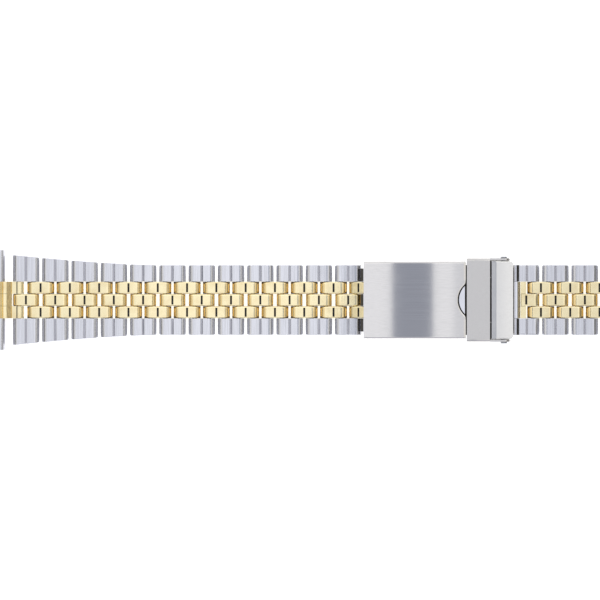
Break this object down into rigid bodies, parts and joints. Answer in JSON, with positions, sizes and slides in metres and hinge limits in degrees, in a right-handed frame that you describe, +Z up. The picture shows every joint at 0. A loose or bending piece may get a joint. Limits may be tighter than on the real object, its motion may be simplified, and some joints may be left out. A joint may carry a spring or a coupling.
{
  "type": "watch strap",
  "caption": "Five-row two-tone link strap for a wristwatch, with hollow end pieces, a fold-over clasp with fine adjustment and a safety flap.",
  "frame": {"origin": "under the middle of the strap's length and width, on the surface that it lies on", "axes": "+X along the strap, from the half with the adjusting link to the half with the safety flap; +Y across it; +Z up, away from the wrist side"},
  "size_m": [0.1654, 0.02, 0.0056],
  "materials": {
    "brushed_steel": "satin, brushed along the strap",
    "polished_steel": "polished",
    "pin_steel": "turned",
    "polished_gold": "polished"
  },
  "bodies": {
    "inner_leaf": {"inner_leaf": "polished_steel", "fold_hinge_pin": "pin_steel", "snap_catch": "polished_steel", "end_block": "brushed_steel", "flap_rivets": "pin_steel"},
    "outer_leaf": {"outer_leaf": "polished_steel"},
    "cover": {"clasp_cover": "brushed_steel", "cover_hinge_pin": "pin_steel", "adjusting_spring_bar": "pin_steel"},
    "safety_flap": {"safety_flap": "brushed_steel"},
    "adjusting_link": {"adjusting_link": "brushed_steel"},
    "beads_l12": {"beads_l12": "polished_gold"},
    "link_l12": {"link_l12": "brushed_steel"},
    "beads_l11": {"beads_l11": "polished_gold"},
    "link_l11": {"link_l11": "brushed_steel"},
    "beads_l10": {"beads_l10": "polished_gold"},
    "link_l10": {"link_l10": "brushed_steel"},
    "beads_l09": {"beads_l09": "polished_gold"},
    "link_l09": {"link_l09": "brushed_steel"},
    "beads_l08": {"beads_l08": "polished_gold"},
    "link_l08": {"link_l08": "brushed_steel"},
    "beads_l07": {"beads_l07": "polished_gold"},
    "link_l07": {"link_l07": "brushed_steel"},
    "beads_l06": {"beads_l06": "polished_gold"},
    "link_l06": {"link_l06": "brushed_steel"},
    "beads_l05": {"beads_l05": "polished_gold"},
    "link_l05": {"link_l05": "brushed_steel"},
    "beads_l04": {"beads_l04": "polished_gold"},
    "link_l04": {"link_l04": "brushed_steel"},
    "beads_l03": {"beads_l03": "polished_gold"},
    "link_l03": {"link_l03": "brushed_steel"},
    "beads_l02": {"beads_l02": "polished_gold"},
    "link_l02": {"link_l02": "brushed_steel"},
    "beads_l01": {"beads_l01": "polished_gold"},
    "link_l01": {"link_l01": "brushed_steel"},
    "end_left": {"end_piece_left": "brushed_steel", "end_middle_left": "polished_gold"},
    "link_r01": {"link_r01": "brushed_steel"},
    "beads_r01": {"beads_r01": "polished_gold"},
    "link_r02": {"link_r02": "brushed_steel"},
    "beads_r02": {"beads_r02": "polished_gold"},
    "link_r03": {"link_r03": "brushed_steel"},
    "beads_r03": {"beads_r03": "polished_gold"},
    "link_r04": {"link_r04": "brushed_steel"},
    "beads_r04": {"beads_r04": "polished_gold"},
    "link_r05": {"link_r05": "brushed_steel"},
    "beads_r05": {"beads_r05": "polished_gold"},
    "link_r06": {"link_r06": "brushed_steel"},
    "beads_r06": {"beads_r06": "polished_gold"},
    "link_r07": {"link_r07": "brushed_steel"},
    "beads_r07": {"beads_r07": "polished_gold"},
    "link_r08": {"link_r08": "brushed_steel"},
    "end_right": {"end_piece_right": "brushed_steel", "end_middle_right": "polished_gold"}
  },
  "joints": [
    {"name": "leaf_fold", "type": "hinge", "parent": "inner_leaf", "child": "outer_leaf", "pos_m": [-0.00073, 0, 0.00072], "axis": [0, -1, 0], "range_deg": [0, 170]},
    {"name": "cover_fold", "type": "hinge", "parent": "outer_leaf", "child": "cover", "pos_m": [0.01477, 0, 0.0023], "axis": [0, 1, 0], "range_deg": [0, 170]},
    {"name": "flap_lift", "type": "hinge", "parent": "inner_leaf", "child": "safety_flap", "pos_m": [0.02507, 0, 0.002], "axis": [0, 1, 0], "range_deg": [0, 120]},
    {"name": "adjusting_link_tilt", "type": "hinge", "parent": "cover", "child": "adjusting_link", "pos_m": [0.00137, 0, 0.00285], "axis": [0, -1, 0], "range_deg": [-2, 6]},
    {"name": "beads_l12_bend", "type": "hinge", "parent": "adjusting_link", "child": "beads_l12", "pos_m": [-0.00214, 0, 0.00285], "axis": [0, -1, 0], "range_deg": [-5, 10]},
    {"name": "link_l12_bend", "type": "hinge", "parent": "beads_l12", "child": "link_l12", "pos_m": [-0.00462, 0, 0.0013], "axis": [0, -1, 0], "range_deg": [-5, 10]},
    {"name": "beads_l11_bend", "type": "hinge", "parent": "link_l12", "child": "beads_l11", "pos_m": [-0.00755, 0, 0.0013], "axis": [0, -1, 0], "range_deg": [-5, 10]},
    {"name": "link_l11_bend", "type": "hinge", "parent": "beads_l11", "child": "link_l11", "pos_m": [-0.01048, 0, 0.0013], "axis": [0, -1, 0], "range_deg": [-5, 10]},
    {"name": "beads_l10_bend", "type": "hinge", "parent": "link_l11", "child": "beads_l10", "pos_m": [-0.01341, 0, 0.0013], "axis": [0, -1, 0], "range_deg": [-5, 10]},
    {"name": "link_l10_bend", "type": "hinge", "parent": "beads_l10", "child": "link_l10", "pos_m": [-0.01634, 0, 0.0013], "axis": [0, -1, 0], "range_deg": [-5, 10]},
    {"name": "beads_l09_bend", "type": "hinge", "parent": "link_l10", "child": "beads_l09", "pos_m": [-0.01927, 0, 0.0013], "axis": [0, -1, 0], "range_deg": [-5, 10]},
    {"name": "link_l09_bend", "type": "hinge", "parent": "beads_l09", "child": "link_l09", "pos_m": [-0.0222, 0, 0.0013], "axis": [0, -1, 0], "range_deg": [-5, 10]},
    {"name": "beads_l08_bend", "type": "hinge", "parent": "link_l09", "child": "beads_l08", "pos_m": [-0.02513, 0, 0.0013], "axis": [0, -1, 0], "range_deg": [-5, 10]},
    {"name": "link_l08_bend", "type": "hinge", "parent": "beads_l08", "child": "link_l08", "pos_m": [-0.02806, 0, 0.0013], "axis": [0, -1, 0], "range_deg": [-5, 10]},
    {"name": "beads_l07_bend", "type": "hinge", "parent": "link_l08", "child": "beads_l07", "pos_m": [-0.03099, 0, 0.0013], "axis": [0, -1, 0], "range_deg": [-5, 10]},
    {"name": "link_l07_bend", "type": "hinge", "parent": "beads_l07", "child": "link_l07", "pos_m": [-0.03392, 0, 0.0013], "axis": [0, -1, 0], "range_deg": [-5, 10]},
    {"name": "beads_l06_bend", "type": "hinge", "parent": "link_l07", "child": "beads_l06", "pos_m": [-0.03685, 0, 0.0013], "axis": [0, -1, 0], "range_deg": [-5, 10]},
    {"name": "link_l06_bend", "type": "hinge", "parent": "beads_l06", "child": "link_l06", "pos_m": [-0.03978, 0, 0.0013], "axis": [0, -1, 0], "range_deg": [-5, 10]},
    {"name": "beads_l05_bend", "type": "hinge", "parent": "link_l06", "child": "beads_l05", "pos_m": [-0.04271, 0, 0.0013], "axis": [0, -1, 0], "range_deg": [-5, 10]},
    {"name": "link_l05_bend", "type": "hinge", "parent": "beads_l05", "child": "link_l05", "pos_m": [-0.04564, 0, 0.0013], "axis": [0, -1, 0], "range_deg": [-5, 10]},
    {"name": "beads_l04_bend", "type": "hinge", "parent": "link_l05", "child": "beads_l04", "pos_m": [-0.04857, 0, 0.0013], "axis": [0, -1, 0], "range_deg": [-5, 10]},
    {"name": "link_l04_bend", "type": "hinge", "parent": "beads_l04", "child": "link_l04", "pos_m": [-0.0515, 0, 0.0013], "axis": [0, -1, 0], "range_deg": [-5, 10]},
    {"name": "beads_l03_bend", "type": "hinge", "parent": "link_l04", "child": "beads_l03", "pos_m": [-0.05443, 0, 0.0013], "axis": [0, -1, 0], "range_deg": [-5, 10]},
    {"name": "link_l03_bend", "type": "hinge", "parent": "beads_l03", "child": "link_l03", "pos_m": [-0.05736, 0, 0.0013], "axis": [0, -1, 0], "range_deg": [-5, 10]},
    {"name": "beads_l02_bend", "type": "hinge", "parent": "link_l03", "child": "beads_l02", "pos_m": [-0.06029, 0, 0.0013], "axis": [0, -1, 0], "range_deg": [-5, 10]},
    {"name": "link_l02_bend", "type": "hinge", "parent": "beads_l02", "child": "link_l02", "pos_m": [-0.06322, 0, 0.0013], "axis": [0, -1, 0], "range_deg": [-5, 10]},
    {"name": "beads_l01_bend", "type": "hinge", "parent": "link_l02", "child": "beads_l01", "pos_m": [-0.06615, 0, 0.0013], "axis": [0, -1, 0], "range_deg": [-5, 10]},
    {"name": "link_l01_bend", "type": "hinge", "parent": "beads_l01", "child": "link_l01", "pos_m": [-0.06908, 0, 0.0013], "axis": [0, -1, 0], "range_deg": [-5, 10]},
    {"name": "end_left_bend", "type": "hinge", "parent": "link_l01", "child": "end_left", "pos_m": [-0.07201, 0, 0.0013], "axis": [0, -1, 0], "range_deg": [-5, 10]},
    {"name": "link_r01_bend", "type": "hinge", "parent": "inner_leaf", "child": "link_r01", "pos_m": [0.02742, 0, 0.0013], "axis": [0, 1, 0], "range_deg": [-5, 10]},
    {"name": "beads_r01_bend", "type": "hinge", "parent": "link_r01", "child": "beads_r01", "pos_m": [0.03099, 0, 0.0013], "axis": [0, 1, 0], "range_deg": [-5, 10]},
    {"name": "link_r02_bend", "type": "hinge", "parent": "beads_r01", "child": "link_r02", "pos_m": [0.03392, 0, 0.0013], "axis": [0, 1, 0], "range_deg": [-5, 10]},
    {"name": "beads_r02_bend", "type": "hinge", "parent": "link_r02", "child": "beads_r02", "pos_m": [0.03685, 0, 0.0013], "axis": [0, 1, 0], "range_deg": [-5, 10]},
    {"name": "link_r03_bend", "type": "hinge", "parent": "beads_r02", "child": "link_r03", "pos_m": [0.03978, 0, 0.0013], "axis": [0, 1, 0], "range_deg": [-5, 10]},
    {"name": "beads_r03_bend", "type": "hinge", "parent": "link_r03", "child": "beads_r03", "pos_m": [0.04271, 0, 0.0013], "axis": [0, 1, 0], "range_deg": [-5, 10]},
    {"name": "link_r04_bend", "type": "hinge", "parent": "beads_r03", "child": "link_r04", "pos_m": [0.04564, 0, 0.0013], "axis": [0, 1, 0], "range_deg": [-5, 10]},
    {"name": "beads_r04_bend", "type": "hinge", "parent": "link_r04", "child": "beads_r04", "pos_m": [0.04857, 0, 0.0013], "axis": [0, 1, 0], "range_deg": [-5, 10]},
    {"name": "link_r05_bend", "type": "hinge", "parent": "beads_r04", "child": "link_r05", "pos_m": [0.0515, 0, 0.0013], "axis": [0, 1, 0], "range_deg": [-5, 10]},
    {"name": "beads_r05_bend", "type": "hinge", "parent": "link_r05", "child": "beads_r05", "pos_m": [0.05443, 0, 0.0013], "axis": [0, 1, 0], "range_deg": [-5, 10]},
    {"name": "link_r06_bend", "type": "hinge", "parent": "beads_r05", "child": "link_r06", "pos_m": [0.05736, 0, 0.0013], "axis": [0, 1, 0], "range_deg": [-5, 10]},
    {"name": "beads_r06_bend", "type": "hinge", "parent": "link_r06", "child": "beads_r06", "pos_m": [0.06029, 0, 0.0013], "axis": [0, 1, 0], "range_deg": [-5, 10]},
    {"name": "link_r07_bend", "type": "hinge", "parent": "beads_r06", "child": "link_r07", "pos_m": [0.06322, 0, 0.0013], "axis": [0, 1, 0], "range_deg": [-5, 10]},
    {"name": "beads_r07_bend", "type": "hinge", "parent": "link_r07", "child": "beads_r07", "pos_m": [0.06615, 0, 0.0013], "axis": [0, 1, 0], "range_deg": [-5, 10]},
    {"name": "link_r08_bend", "type": "hinge", "parent": "beads_r07", "child": "link_r08", "pos_m": [0.06908, 0, 0.0013], "axis": [0, 1, 0], "range_deg": [-5, 10]},
    {"name": "end_right_bend", "type": "hinge", "parent": "link_r08", "child": "end_right", "pos_m": [0.07201, 0, 0.0013], "axis": [0, 1, 0], "range_deg": [-5, 10]}
  ],
  "couplings": [
    {"joint": "cover_fold", "follows": "leaf_fold", "ratio": 1}
  ]
}
